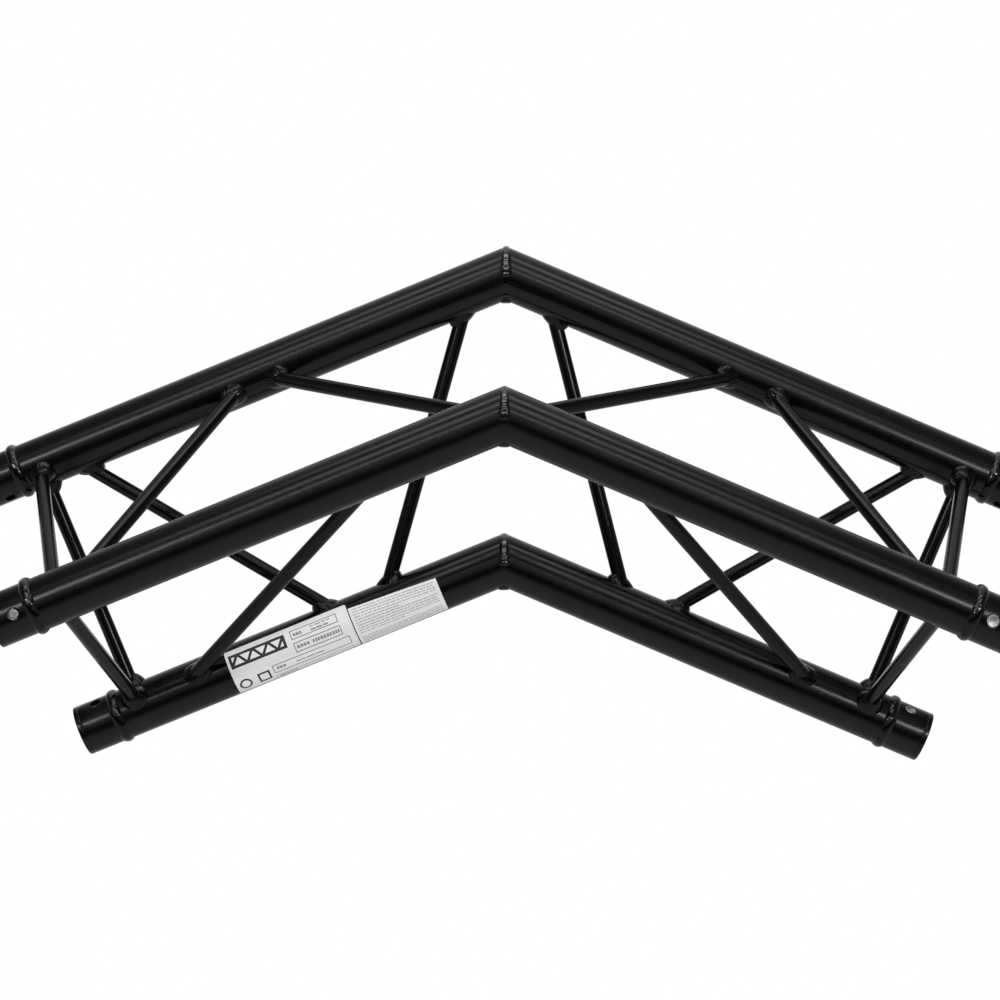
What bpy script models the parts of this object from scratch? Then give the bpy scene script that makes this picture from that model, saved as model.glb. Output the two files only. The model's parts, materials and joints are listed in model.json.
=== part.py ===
"""Two-way 135 degree corner of a triangular (three-chord) stage truss, black powder-coated aluminium.

The corner stands like a gable. Its bend plane is X-Z, the apex is up, and the two legs
fall to the left (-X) and to the right (+X) at 22.5 degrees below the horizontal.
The cross-section is an equilateral triangle of tubes:
  outer chord   rear, on the outside of the bend
  front chord   at the front (-Y), midway between the other two
  inner chord   rear, on the inside of the bend
Each chord is two tubes cut on the mitre and welded at the apex. Each of the six chord ends
carries a welded-in socket sleeve for a conical coupler, with a tapered spigot pin
driven through it square to the chord, towards the middle of the section.
Eight round struts per leg are coped and welded between the chords.

Metres, +Z up. The origin is below the apex: the middle of the bounding box in X and Y,
and its lowest level in Z.

Points on a leg are given by three numbers: the station, a distance down the leg along the
middle of the section from the mitre; out, the distance from there towards the outside of
the bend; and y, the distance from there towards the rear.
"""

import math

import bmesh
import bpy
from mathutils import Matrix, Vector

# ---------------------------------------------------------------- legs and chords
MM = 0.001
CORNER_DEG = 135.0                 # angle enclosed by the two legs
LEG_FALL = math.radians((180.0 - CORNER_DEG) / 2)   # fall of each leg below the horizontal
LEG_LENGTH = 357.0 * MM            # station of the socket mouths
CHORD_PITCH = 185.0 * MM           # centre to centre, so 220 mm over the tubes
CHORD_R = 17.5 * MM                # 35 mm tube
CHORD_WALL = 1.6 * MM
GAP = 0.3 * MM                     # between a piece and the one it is welded to
SKIN_GAP = 0.2 * MM                # under weld rings and labels
SKIN_R = CHORD_R + SKIN_GAP        # underside of weld rings and labels

# ---------------------------------------------------------------- sockets
SOCKET_EXPOSED = 28.5 * MM         # socket length outside the tube, up to its weld
SOCKET_NECK = 21.0 * MM            # reduced neck inside the tube
SOCKET_NECK_R = 15.6 * MM
SOCKET_NECK_BORE_R = 12.6 * MM
SOCKET_MOUTH_R = 14.8 * MM         # conical seat at the mouth
SOCKET_SEAT_R = 13.1 * MM          # and at its bottom
SOCKET_SEAT_DEPTH = 33.0 * MM
SOCKET_RIM = 0.6 * MM              # outside chamfer of the mouth
SOCKET_LEAD_IN = 0.5 * MM          # inside chamfer of the mouth
GROOVE_AT = 3.3 * MM               # turned line behind the mouth
GROOVE_WIDTH = 0.8 * MM
GROOVE_DEPTH = 0.35 * MM
SOCKET_JOINT = LEG_LENGTH - SOCKET_EXPOSED          # station where the tube meets the socket

# ---------------------------------------------------------------- pins and their holes
PIN_FROM_MOUTH = 17.0 * MM         # pin axis behind the socket mouth
PIN_WIDE_R = 4.1 * MM
PIN_NARROW_R = 3.2 * MM
PIN_EDGE = 0.5 * MM                # chamfer at both ends
# ends of the pin, from the chord axis; the rear pins show less at their narrow ends
PIN_WIDE_END = 17.2 * MM
PIN_NARROW_END = {"outer": 14.2 * MM, "front": 16.3 * MM, "inner": 14.2 * MM}
# legs where the wide end faces away from the middle of the section
PIN_FACES_AWAY = {"outer": ("left", "right"), "front": ("right",), "inner": ("left",)}
# hole radii at the socket's surface
HOLE_WIDE_R = 4.45 * MM
HOLE_NARROW_R = 3.95 * MM
DRILL_REACH = CHORD_R * 1.25       # drill end from the chord axis, clear of the socket

# ---------------------------------------------------------------- weld beads on the chords
CORNER_BEAD_HALF = 3.75 * MM       # half width of the mitre weld
CORNER_BEAD_PROUD = 1.7 * MM
SOCKET_BEAD_HALF = 4.5 * MM
SOCKET_BEAD_PROUD = 2.2 * MM
BEAD_SHOULDER_OUT = 0.6            # shoulder of a bead, as a share of its half width
BEAD_SHOULDER_RISE = 0.72          # and as a share of its height

# ---------------------------------------------------------------- struts
STRUT_R = 5.0 * MM                 # 10 mm tube
STRUT_BORE_R = 4.0 * MM
FILLET_TOE_R = 8.0 * MM            # foot of the weld on the chord, from the strut axis
FILLET_MID_R = 6.2 * MM
FILLET_MID_RISE = 2.3 * MM         # square to the chord surface
FILLET_TOP_RISE = 5.5 * MM         # along the strut

# Struts of one leg: name, first chord, its stations, second chord, its stations.
# Stations are in mm, where the strut axis meets the chord axis, on the left and the right
# leg: the struts were set by hand and differ by a few millimetres.
STRUTS = (
    ("end_strut_outer_front", "outer", (313.4, 309.8), "front", (314.0, 309.7)),
    ("end_strut_outer_inner", "outer", (313.8, 310.5), "inner", (312.5, 310.6)),
    ("end_strut_front_inner", "front", (314.0, 311.8), "inner", (312.3, 310.3)),
    ("diagonal_outer_front_low", "outer", (154.8, 155.4), "front", (307.1, 305.9)),
    ("diagonal_outer_front_high", "outer", (149.1, 144.0), "front", (5.1, 4.6)),
    ("diagonal_outer_inner_low", "outer", (294.8, 290.9), "inner", (152.5, 148.9)),
    ("diagonal_outer_inner_high", "outer", (-11.5, -7.0), "inner", (131.2, 132.7)),
    ("diagonal_front_inner", "front", (79.2, 79.9), "inner", (284.3, 278.7)),
)

# ---------------------------------------------------------------- labels
LABEL_THICK = 0.25 * MM
LABEL_LOWER_DEG = -70.0            # lower edge, round the tube from its front
LABEL_STEPS = 12                   # round the tube
SKEWED_LABEL_LENGTHS = 5           # short lengths that let a skewed film follow the tube
# name, near and far end along the inner chord's axis from the mitre,
# upper edge round the tube in degrees from its front, at the near and the far end
LABELS = (
    ("data_label", 114.2 * MM, 205.3 * MM, 49.5, 49.5),
    ("notes_label", 48.6 * MM, 113.4 * MM, 23.0, 34.0),
)

# ---------------------------------------------------------------- segment counts
CHORD_SIDES = 32
SOCKET_SIDES = 24
STRUT_SIDES = 12
PIN_SIDES = 16
BEAD_SIDES = 24

# ---------------------------------------------------------------- finishes
BLACK = dict(colour=(0.012, 0.012, 0.013), roughness=0.38, metallic=0.0)   # satin powder coat
BARE_STEEL = dict(colour=(0.62, 0.62, 0.60), roughness=0.30, metallic=1.0)
LABEL_FILM = dict(colour=(0.80, 0.80, 0.80), roughness=0.45, metallic=0.0)

# edges that turn by more than this many degrees are shaded sharp
SHARP_DEG = 32.0
BEAD_SHARP_DEG = 60.0
STRUT_SHARP_DEG = 50.0
LABEL_SHARP_DEG = 40.0

# ---------------------------------------------------------------- section and legs
SECTION_DEPTH = CHORD_PITCH * math.sqrt(3) / 2      # front chord to rear chords
# chord centres in the section: (out, y)
CHORDS = {
    "outer": (CHORD_PITCH / 2, SECTION_DEPTH / 3),
    "front": (0.0, -2 * SECTION_DEPTH / 3),
    "inner": (-CHORD_PITCH / 2, SECTION_DEPTH / 3),
}
SIDES = {"left": -1.0, "right": 1.0}                # sign of X on each leg
FALL_COS, FALL_SIN = math.cos(LEG_FALL), math.sin(LEG_FALL)
REAR = Vector((0.0, 1.0, 0.0))
# the lowest point is on the mouth of the inner sockets
LOWEST = -(LEG_LENGTH - SOCKET_RIM) * FALL_SIN - (CHORD_PITCH / 2 + CHORD_R) * FALL_COS
ORIGIN = Vector((0.0, -SECTION_DEPTH / 6, LOWEST))


def along(side):
    """Unit vector down a leg."""
    return Vector((side * FALL_COS, 0.0, -FALL_SIN))


def across(side):
    """Unit vector square to a leg in the bend plane, towards the outside of the bend."""
    return Vector((side * FALL_SIN, 0.0, FALL_COS))


def place(side, station, out, y):
    return along(side) * station + across(side) * out + REAR * y - ORIGIN


def on_chord(chord, side, station):
    """Point on a chord's axis."""
    return place(side, station, *CHORDS[chord])


def full_turn(count):
    """Evenly spaced angles of a ring."""
    return [2 * math.pi * k / count for k in range(count)]


def square_ring(chord, side, station, radius, count):
    """Ring round the chord, square to it."""
    out, y = CHORDS[chord]
    return [
        place(side, station, out + radius * math.cos(angle), y + radius * math.sin(angle))
        for angle in full_turn(count)
    ]


def mitre_ring(chord, side, offset, radius, count):
    """Ring round the chord, parallel to the mitre plane x = 0 and offset from it."""
    chord_out, chord_y = CHORDS[chord]
    ring = []
    for angle in full_turn(count):
        out = chord_out + radius * math.cos(angle)
        station = (offset - out * FALL_SIN) / FALL_COS
        ring.append(place(side, station, out, chord_y + radius * math.sin(angle)))
    return ring


# ---------------------------------------------------------------- building
def clear_scene():
    for obj in list(bpy.data.objects):
        bpy.data.objects.remove(obj, do_unlink=True)


def finish_material(name, colour, roughness, metallic):
    material = bpy.data.materials.new(name + "_finish")
    material.use_nodes = True
    shader = material.node_tree.nodes["Principled BSDF"]
    shader.inputs["Base Color"].default_value = (*colour, 1.0)
    shader.inputs["Roughness"].default_value = roughness
    shader.inputs["Metallic"].default_value = metallic
    material.diffuse_color = (*colour, 1.0)
    return material


def skin(rings, capped=False):
    """Quads between successive rings. The ends are capped, or else joined to each other."""
    shape = bmesh.new()
    loops = [[shape.verts.new(point) for point in ring] for ring in rings]
    pairs = list(zip(loops, loops[1:]))
    if not capped:
        pairs.append((loops[-1], loops[0]))
    count = len(loops[0])
    for one, two in pairs:
        for k in range(count):
            following = (k + 1) % count
            shape.faces.new((one[k], one[following], two[following], two[k]))
    if capped:
        shape.faces.new(loops[0])
        shape.faces.new(loops[-1])
    return shape


def turned(profile, count):
    """Solid turned about local Z from (radius, height) pairs, lowest first."""
    rings = [
        [
            Vector((radius * math.cos(angle), radius * math.sin(angle), height))
            for angle in full_turn(count)
        ]
        for radius, height in profile
    ]
    return skin(rings, capped=True)


def add_object(name, shape, sharp_deg=SHARP_DEG, matrix=None):
    bmesh.ops.recalc_face_normals(shape, faces=shape.faces)
    mesh = bpy.data.meshes.new(name)
    shape.to_mesh(mesh)
    shape.free()
    mesh.shade_smooth()
    mesh.set_sharp_from_angle(angle=math.radians(sharp_deg))
    obj = bpy.data.objects.new(name, mesh)
    bpy.context.scene.collection.objects.link(obj)
    if matrix is not None:
        obj.matrix_world = matrix
    return obj


def add_piece(name, shape, finish, **options):
    """Visible object with a material of its own."""
    obj = add_object(name, shape, **options)
    obj.data.materials.append(finish_material(name, **finish))
    return obj


# ---------------------------------------------------------------- chord pieces
def chord_tube(chord, side_name):
    """Half of a chord, from its mitre cut to the socket."""
    side = SIDES[side_name]
    near, far = GAP / 2, SOCKET_JOINT - GAP / 2
    bore_r = CHORD_R - CHORD_WALL
    rings = [
        mitre_ring(chord, side, near, CHORD_R, CHORD_SIDES),
        square_ring(chord, side, far, CHORD_R, CHORD_SIDES),
        square_ring(chord, side, far, bore_r, CHORD_SIDES),
        mitre_ring(chord, side, near, bore_r, CHORD_SIDES),
    ]
    add_piece(f"{chord}_chord_{side_name}", skin(rings), BLACK)


def bead_profile(half, proud):
    """Outside of a weld bead, as (offset along the chord, radius) from edge to edge."""
    shoulder_out = half * BEAD_SHOULDER_OUT
    shoulder_r = CHORD_R + proud * BEAD_SHOULDER_RISE
    return [
        (-half, SKIN_R),
        (-shoulder_out, shoulder_r),
        (0.0, CHORD_R + proud),
        (shoulder_out, shoulder_r),
        (half, SKIN_R),
    ]


def corner_weld(chord):
    """Bead round the mitre joint: a ring that folds over the mitre plane."""
    profile = bead_profile(CORNER_BEAD_HALF, CORNER_BEAD_PROUD)
    profile.append((0.0, SKIN_R))  # takes the underside round the fold
    rings = []
    for offset, radius in profile:
        side = SIDES["left"] if offset < 0 else SIDES["right"]
        rings.append(mitre_ring(chord, side, abs(offset), radius, BEAD_SIDES))
    add_piece(f"corner_weld_{chord}", skin(rings), BLACK, sharp_deg=BEAD_SHARP_DEG)


def socket_weld(chord, side_name):
    """Bead round the joint between the tube and its socket."""
    rings = [
        square_ring(chord, SIDES[side_name], SOCKET_JOINT + offset, radius, BEAD_SIDES)
        for offset, radius in bead_profile(SOCKET_BEAD_HALF, SOCKET_BEAD_PROUD)
    ]
    name = f"socket_weld_{chord}_{side_name}"
    add_piece(name, skin(rings), BLACK, sharp_deg=BEAD_SHARP_DEG)


def pin_matrix(chord, side_name):
    """Frame on the chord axis where the pin crosses it, local +Z towards the wide end."""
    side = SIDES[side_name]
    out, y = CHORDS[chord]
    inward = (across(side) * -out + REAR * -y).normalized()
    wide_way = -inward if side_name in PIN_FACES_AWAY[chord] else inward
    centre = on_chord(chord, side, LEG_LENGTH - PIN_FROM_MOUTH)
    return Matrix.Translation(centre) @ wide_way.to_track_quat("Z", "Y").to_matrix().to_4x4()


def pin_drill(chord, side_name):
    """Hidden cutter for the tapered pin hole."""
    middle_r = (HOLE_WIDE_R + HOLE_NARROW_R) / 2
    widening = (HOLE_WIDE_R - HOLE_NARROW_R) / (2 * CHORD_R) * DRILL_REACH
    profile = [(middle_r - widening, -DRILL_REACH), (middle_r + widening, DRILL_REACH)]
    drill = add_object(
        f"drill_{chord}_{side_name}",
        turned(profile, PIN_SIDES),
        matrix=pin_matrix(chord, side_name),
    )
    drill.hide_render = True
    drill.display_type = "WIRE"
    return drill


def socket(chord, side_name):
    """Socket sleeve with its neck in the tube, bored to a cone and drilled for the pin."""
    mouth = LEG_LENGTH
    groove_near_mouth = mouth - GROOVE_AT
    groove_far = groove_near_mouth - GROOVE_WIDTH
    shoulder = SOCKET_JOINT + GAP / 2
    tail = SOCKET_JOINT - SOCKET_NECK
    # (station, radius): down the outside from the mouth, back up the bore
    profile = (
        (mouth, SOCKET_MOUTH_R + SOCKET_LEAD_IN),
        (mouth, CHORD_R - SOCKET_RIM),
        (mouth - SOCKET_RIM, CHORD_R),
        (groove_near_mouth, CHORD_R),
        ((groove_near_mouth + groove_far) / 2, CHORD_R - GROOVE_DEPTH),
        (groove_far, CHORD_R),
        (shoulder, CHORD_R),
        (shoulder, SOCKET_NECK_R),
        (tail, SOCKET_NECK_R),
        (tail, SOCKET_NECK_BORE_R),
        (mouth - SOCKET_SEAT_DEPTH, SOCKET_SEAT_R),
        (mouth - SOCKET_LEAD_IN, SOCKET_MOUTH_R),
    )
    rings = [
        square_ring(chord, SIDES[side_name], station, radius, SOCKET_SIDES)
        for station, radius in profile
    ]
    body = add_piece(f"socket_{chord}_{side_name}", skin(rings), BLACK)
    hole = body.modifiers.new("pin_hole", "BOOLEAN")
    hole.operation = "DIFFERENCE"
    hole.solver = "EXACT"
    hole.object = pin_drill(chord, side_name)


def pin(chord, side_name):
    """Tapered spigot pin. Its object stands on the pin's own axis."""
    narrow_end = PIN_NARROW_END[chord]
    profile = [
        (PIN_NARROW_R - PIN_EDGE, -narrow_end),
        (PIN_NARROW_R, -narrow_end + PIN_EDGE),
        (PIN_WIDE_R, PIN_WIDE_END - PIN_EDGE),
        (PIN_WIDE_R - PIN_EDGE, PIN_WIDE_END),
    ]
    add_piece(
        f"pin_{chord}_{side_name}",
        turned(profile, PIN_SIDES),
        BARE_STEEL,
        matrix=pin_matrix(chord, side_name),
    )


# ---------------------------------------------------------------- struts
def cope(way, leg, spoke, shell):
    """Distance to a coped end: a line offset by spoke from a strut axis that starts on the
    chord axis runs along way until it meets a cylinder of radius shell round the chord."""
    # spoke and way, flattened into the plane square to the chord
    flat_spoke = spoke - leg * spoke.dot(leg)
    flat_way = way - leg * way.dot(leg)
    # quadratic: square * d^2 + 2 * half_linear * d + constant = 0
    square = flat_way.dot(flat_way)
    half_linear = flat_spoke.dot(flat_way)
    constant = flat_spoke.dot(flat_spoke) - shell * shell
    return (-half_linear + math.sqrt(half_linear * half_linear - square * constant)) / square


def strut(name, side_name, first_end, second_end):
    """Round strut, coped to both chords, with its end welds as flared fillets and a clear bore.

    Each end is (chord, station).
    """
    side = SIDES[side_name]
    leg = along(side)
    first, second = (on_chord(chord, side, station) for chord, station in (first_end, second_end))
    way = (second - first).normalized()
    spoke_x = (leg - way * leg.dot(way)).normalized()
    spoke_y = way.cross(spoke_x)

    def end_ring(start, direction, radius, shell, rise):
        ring = []
        for angle in full_turn(STRUT_SIDES):
            spoke = spoke_x * (radius * math.cos(angle)) + spoke_y * (radius * math.sin(angle))
            run = cope(direction, leg, spoke, shell) + rise
            ring.append(start + spoke + direction * run)
        return ring

    foot = CHORD_R + GAP
    # (radius, radius of the shell it is coped to, rise beyond that along the strut)
    fillet = (
        (FILLET_TOE_R, foot, 0.0),
        (FILLET_MID_R, foot + FILLET_MID_RISE, 0.0),
        (STRUT_R, foot, FILLET_TOP_RISE),
    )
    bore = (STRUT_BORE_R, foot, 0.0)
    rings = [end_ring(first, way, *row) for row in fillet]
    rings += [end_ring(second, -way, *row) for row in (*reversed(fillet), bore)]
    rings.append(end_ring(first, way, *bore))
    add_piece(f"{name}_{side_name}", skin(rings), BLACK, sharp_deg=STRUT_SHARP_DEG)


# ---------------------------------------------------------------- labels
def label(name, near, far, upper_near, upper_far):
    """Thin film stuck round the front of the inner left chord."""
    chord_out, chord_y = CHORDS["inner"]
    mitre_station = CHORD_PITCH / 2 * math.tan(LEG_FALL)    # where this chord's axis is mitred

    def arc(share, radius):
        """Row of points round the tube: share 0 is the near end, 1 the far end."""
        station = near + (far - near) * share + mitre_station
        upper = upper_near + (upper_far - upper_near) * share
        row = []
        for k in range(LABEL_STEPS + 1):
            angle = math.radians(LABEL_LOWER_DEG + (upper - LABEL_LOWER_DEG) * k / LABEL_STEPS)
            out = chord_out + radius * math.sin(angle)
            y = chord_y - radius * math.cos(angle)
            row.append(place(SIDES["left"], station, out, y))
        return row

    lengths = 1 if upper_near == upper_far else SKEWED_LABEL_LENGTHS
    loops = []
    for k in range(lengths + 1):
        share = k / lengths
        loops.append(arc(share, SKIN_R) + arc(share, SKIN_R + LABEL_THICK)[::-1])
    add_piece(name, skin(loops, capped=True), LABEL_FILM, sharp_deg=LABEL_SHARP_DEG)


def main():
    clear_scene()
    for leg_index, side_name in enumerate(SIDES):
        for chord in CHORDS:
            chord_tube(chord, side_name)
            socket(chord, side_name)
            socket_weld(chord, side_name)
            pin(chord, side_name)
        for name, first_chord, first_stations, second_chord, second_stations in STRUTS:
            first_end = (first_chord, first_stations[leg_index] * MM)
            second_end = (second_chord, second_stations[leg_index] * MM)
            strut(name, side_name, first_end, second_end)
    for chord in CHORDS:
        corner_weld(chord)
    for entry in LABELS:
        label(*entry)
    bpy.context.view_layer.update()


main()
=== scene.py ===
"""Corner of a black triangular truss whose two legs meet at 135 degrees.

The legs fall to the left (-X) and right (+X) from a mitre in the plane x = 0. Each has three
chord tubes: the front one towards -Y, and at the rear the outer one above the inner one. The
lowest point is near z = 0 and +Z is up. Each piece stands for a CAD node and rides on that
node's body. All lengths are in metres.
"""

import json
import math

import bmesh
import bpy
import numpy as np
from mathutils import Matrix, Vector


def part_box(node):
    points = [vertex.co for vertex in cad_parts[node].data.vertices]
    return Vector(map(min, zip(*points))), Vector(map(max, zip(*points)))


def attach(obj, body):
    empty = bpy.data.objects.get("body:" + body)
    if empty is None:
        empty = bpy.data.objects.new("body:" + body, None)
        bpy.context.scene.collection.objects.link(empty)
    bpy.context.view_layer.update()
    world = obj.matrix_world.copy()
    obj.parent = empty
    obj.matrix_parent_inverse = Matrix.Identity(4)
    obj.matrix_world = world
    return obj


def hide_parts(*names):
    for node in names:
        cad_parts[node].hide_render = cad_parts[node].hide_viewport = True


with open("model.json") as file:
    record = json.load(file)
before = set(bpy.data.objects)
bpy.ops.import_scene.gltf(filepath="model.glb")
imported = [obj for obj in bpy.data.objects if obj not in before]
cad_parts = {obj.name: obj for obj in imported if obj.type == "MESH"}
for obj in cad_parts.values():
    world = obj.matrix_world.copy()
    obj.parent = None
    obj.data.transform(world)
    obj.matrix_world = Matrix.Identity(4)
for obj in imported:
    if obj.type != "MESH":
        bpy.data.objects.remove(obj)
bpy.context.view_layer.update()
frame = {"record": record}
NODE_BODY = {
    member: body
    for body, members in frame["record"]["behaviour"]["bodies"].items()
    for member in members
}

# ---------------------------------------------------------------- driving dimensions
MM = 0.001
LEG_FALL = math.radians(22.5)
CHORD_PITCH = 185.0 * MM
CHORD_R = 17.5 * MM
CHORD_WALL = 1.6 * MM
LEG_LENGTH = 357.0 * MM
SOCKET_EXPOSED = 28.5 * MM
SOCKET_NECK = 21.0 * MM
SOCKET_NECK_R = 15.6 * MM
SOCKET_NECK_BORE_R = 12.6 * MM
SOCKET_MOUTH_R = 14.8 * MM
SOCKET_SEAT_R = 13.1 * MM
SOCKET_SEAT_DEPTH = 33.0 * MM
SOCKET_RIM = 0.6 * MM
SOCKET_LEAD_IN = 0.5 * MM
GROOVE_AT = 3.3 * MM
GROOVE_WIDTH = 0.8 * MM
GROOVE_DEPTH = 0.35 * MM
PIN_FROM_MOUTH = 17.0 * MM
PIN_WIDE_R = 4.1 * MM
PIN_NARROW_R = 3.2 * MM
PIN_WIDE_END = 17.2 * MM           # ends are measured from the chord's axis
PIN_NARROW_END = {"outer": 14.2 * MM, "front": 16.3 * MM, "inner": 14.2 * MM}
PIN_EDGE = 0.5 * MM
HOLE_WIDE_R = 4.45 * MM
HOLE_NARROW_R = 3.95 * MM
STRUT_R = 5.0 * MM
STRUT_BORE_R = 4.0 * MM
CORNER_BEAD_HALF = 3.9 * MM
CORNER_BEAD_PROUD = 1.7 * MM
SOCKET_BEAD_HALF = 4.5 * MM
SOCKET_BEAD_PROUD = 2.2 * MM
BEAD_GIRTH = 2 * math.pi * (CHORD_R + 1 * MM)
COLLAR_TOE = 4.7 * MM              # weld leg along the chord, out from the brace
COLLAR_RISE = 6.3 * MM             # weld leg up the brace
COLLAR_GIRTH = 2 * math.pi * 7.4 * MM

# Brace name, then for each end its chord and its stations from the corner (left, right) in mm.
STRUTS = (
    ("end_strut_outer_front", "outer", (313.4, 309.8), "front", (314.0, 309.7)),
    ("end_strut_outer_inner", "outer", (313.8, 310.5), "inner", (312.5, 310.6)),
    ("end_strut_front_inner", "front", (314.0, 311.8), "inner", (312.3, 310.3)),
    ("diagonal_outer_front_low", "outer", (154.8, 155.4), "front", (307.1, 305.9)),
    ("diagonal_outer_front_high", "outer", (149.1, 144.0), "front", (5.1, 4.6)),
    ("diagonal_outer_inner_low", "outer", (294.8, 290.9), "inner", (152.5, 148.9)),
    ("diagonal_outer_inner_high", "outer", (-11.5, -7.0), "inner", (131.2, 132.7)),
    ("diagonal_front_inner", "front", (79.2, 79.9), "inner", (284.3, 278.7)),
)
SECTION_H = CHORD_PITCH * math.sqrt(3) / 2
CHORDS = {                         # place in the leg's section: (up, y)
    "outer": (CHORD_PITCH / 2, SECTION_H / 3),
    "front": (0.0, -2 * SECTION_H / 3),
    "inner": (-CHORD_PITCH / 2, SECTION_H / 3),
}
SIDES = {"left": -1.0, "right": 1.0}
COS, SIN = math.cos(LEG_FALL), math.sin(LEG_FALL)
LOWEST = -(LEG_LENGTH - SOCKET_RIM) * SIN - (CHORD_PITCH / 2 + CHORD_R) * COS
ORIGIN = np.array((0.0, -SECTION_H / 6, LOWEST))
REAR = np.array((0.0, 1.0, 0.0))

# Mesh fineness
TUBE_SIDES = 128
BRACE_SIDES = 64
TUBE_STEPS = 6
PIN_SIDES = 72
BEAD_COLUMNS, BEAD_STEPS = 352, 18
COLLAR_COLUMNS, COLLAR_STEPS = 144, 14


# ---------------------------------------------------------------- places on the truss
def along(side):
    """Direction down a leg, away from the mitre."""
    return np.array((side * COS, 0.0, -SIN))


def across(side):
    """Direction up from a leg, square to it."""
    return np.array((side * SIN, 0.0, COS))


def place(side, station, up, y):
    """Points for leg coordinates, which may be numbers or arrays of one shape."""
    station, up, y = np.broadcast_arrays(*(np.asarray(v, float) for v in (station, up, y)))
    leg_point = station[..., None] * along(side) + up[..., None] * across(side)
    return leg_point + y[..., None] * REAR - ORIGIN


def on_chord(chord, side, station):
    return place(side, station, *CHORDS[chord])


def chord_ring(chord, side, station, radius, angles):
    """Points round a chord's axis, the angles turning from the leg's up towards the rear."""
    up, y = CHORDS[chord]
    return place(side, station, up + radius * np.cos(angles), y + radius * np.sin(angles))


def unit(vector):
    vector = np.asarray(vector, float)
    return vector / np.linalg.norm(vector, axis=-1, keepdims=True)


def turns(count):
    return np.arange(count) * (2 * math.pi / count)


def spokes(radius, angles, first, second):
    """Vectors round a circle in the plane of two directions."""
    return np.outer(radius * np.cos(angles), first) + np.outer(radius * np.sin(angles), second)


# ---------------------------------------------------------------- node helpers
class Net:
    """Writes the shader nodes of a material or a world."""

    def __init__(self, owner, output):
        owner.use_nodes = True
        self.owner = owner
        self.nodes = owner.node_tree.nodes
        self.links = owner.node_tree.links
        self.nodes.clear()
        self.out = self.add(output)

    def add(self, kind, **settings):
        node = self.nodes.new("ShaderNode" + kind)
        for key, value in settings.items():
            setattr(node, key, value)
        return node

    def put(self, node, **inputs):
        """Sets inputs by name, or by number as _0. A socket is linked, the rest are values."""
        for key, value in inputs.items():
            socket = node.inputs[int(key[1:]) if key[0] == "_" else key.replace("_", " ")]
            if isinstance(value, bpy.types.NodeSocket):
                self.links.new(value, socket)
            else:
                socket.default_value = value
        return node

    def math(self, operation, *values):
        node = self.add("Math", operation=operation)
        return self.put(node, **{f"_{k}": value for k, value in enumerate(values)}).outputs[0]

    def ramp(self, value, span, to=(0.0, 1.0), kind="SMOOTHSTEP"):
        """Maps a span of the value to another range."""
        node = self.add("MapRange", interpolation_type=kind)
        self.put(node, Value=value, From_Min=span[0], From_Max=span[1])
        return self.put(node, To_Min=to[0], To_Max=to[1]).outputs[0]

    def noise(self, vector, scale, detail=2.0, rough=0.5):
        node = self.add("TexNoise")
        self.put(node, Vector=vector, Scale=scale, Detail=detail, Roughness=rough)
        return node.outputs["Fac"]

    def grooves(self, distance, pitch, wander, sway):
        """Sine grooves at a pitch, swayed by a noise."""
        phase = self.math("MULTIPLY", distance, 2 * math.pi / pitch)
        return self.math("SINE", self.math("ADD", phase, self.math("MULTIPLY", wander, sway)))

    def blend(self, share, one, two):
        """Mixes two colours."""
        node = self.add("Mix", data_type="RGBA")
        return self.put(node, _0=share, _6=one, _7=two).outputs[2]

    def mix(self, share, one, two):
        """Mixes two shaders."""
        return self.put(self.add("MixShader"), _0=share, _1=one, _2=two).outputs[0]

    def bump(self, height, depth, under=None):
        node = self.put(self.add("Bump"), Height=height, Strength=1.0, Distance=depth)
        if under is not None:
            self.put(node, Normal=under)
        return node.outputs[0]

    def split(self, vector):
        return self.put(self.add("SeparateXYZ"), Vector=vector).outputs

    def object_place(self):
        return self.add("TexCoord").outputs["Object"]

    def local(self):
        """Coordinates in the piece's own frame, stored on its vertices."""
        return self.add("Attribute", attribute_name="local").outputs["Vector"]

    def stretch(self, vector, scale):
        return self.put(self.add("Mapping"), Vector=vector, Scale=scale).outputs[0]

    def surface(self, shader):
        self.put(self.out, Surface=shader)
        return self.owner

    def principled(self, **inputs):
        """Ends the network in this shader and returns the material."""
        return self.surface(self.put(self.add("BsdfPrincipled"), **inputs).outputs[0])


def material_net(name):
    return Net(bpy.data.materials.new(name), "OutputMaterial")


def grey(value, warm=0.0):
    return (value * (1 + warm), value, value * (1 - warm), 1.0)


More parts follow.
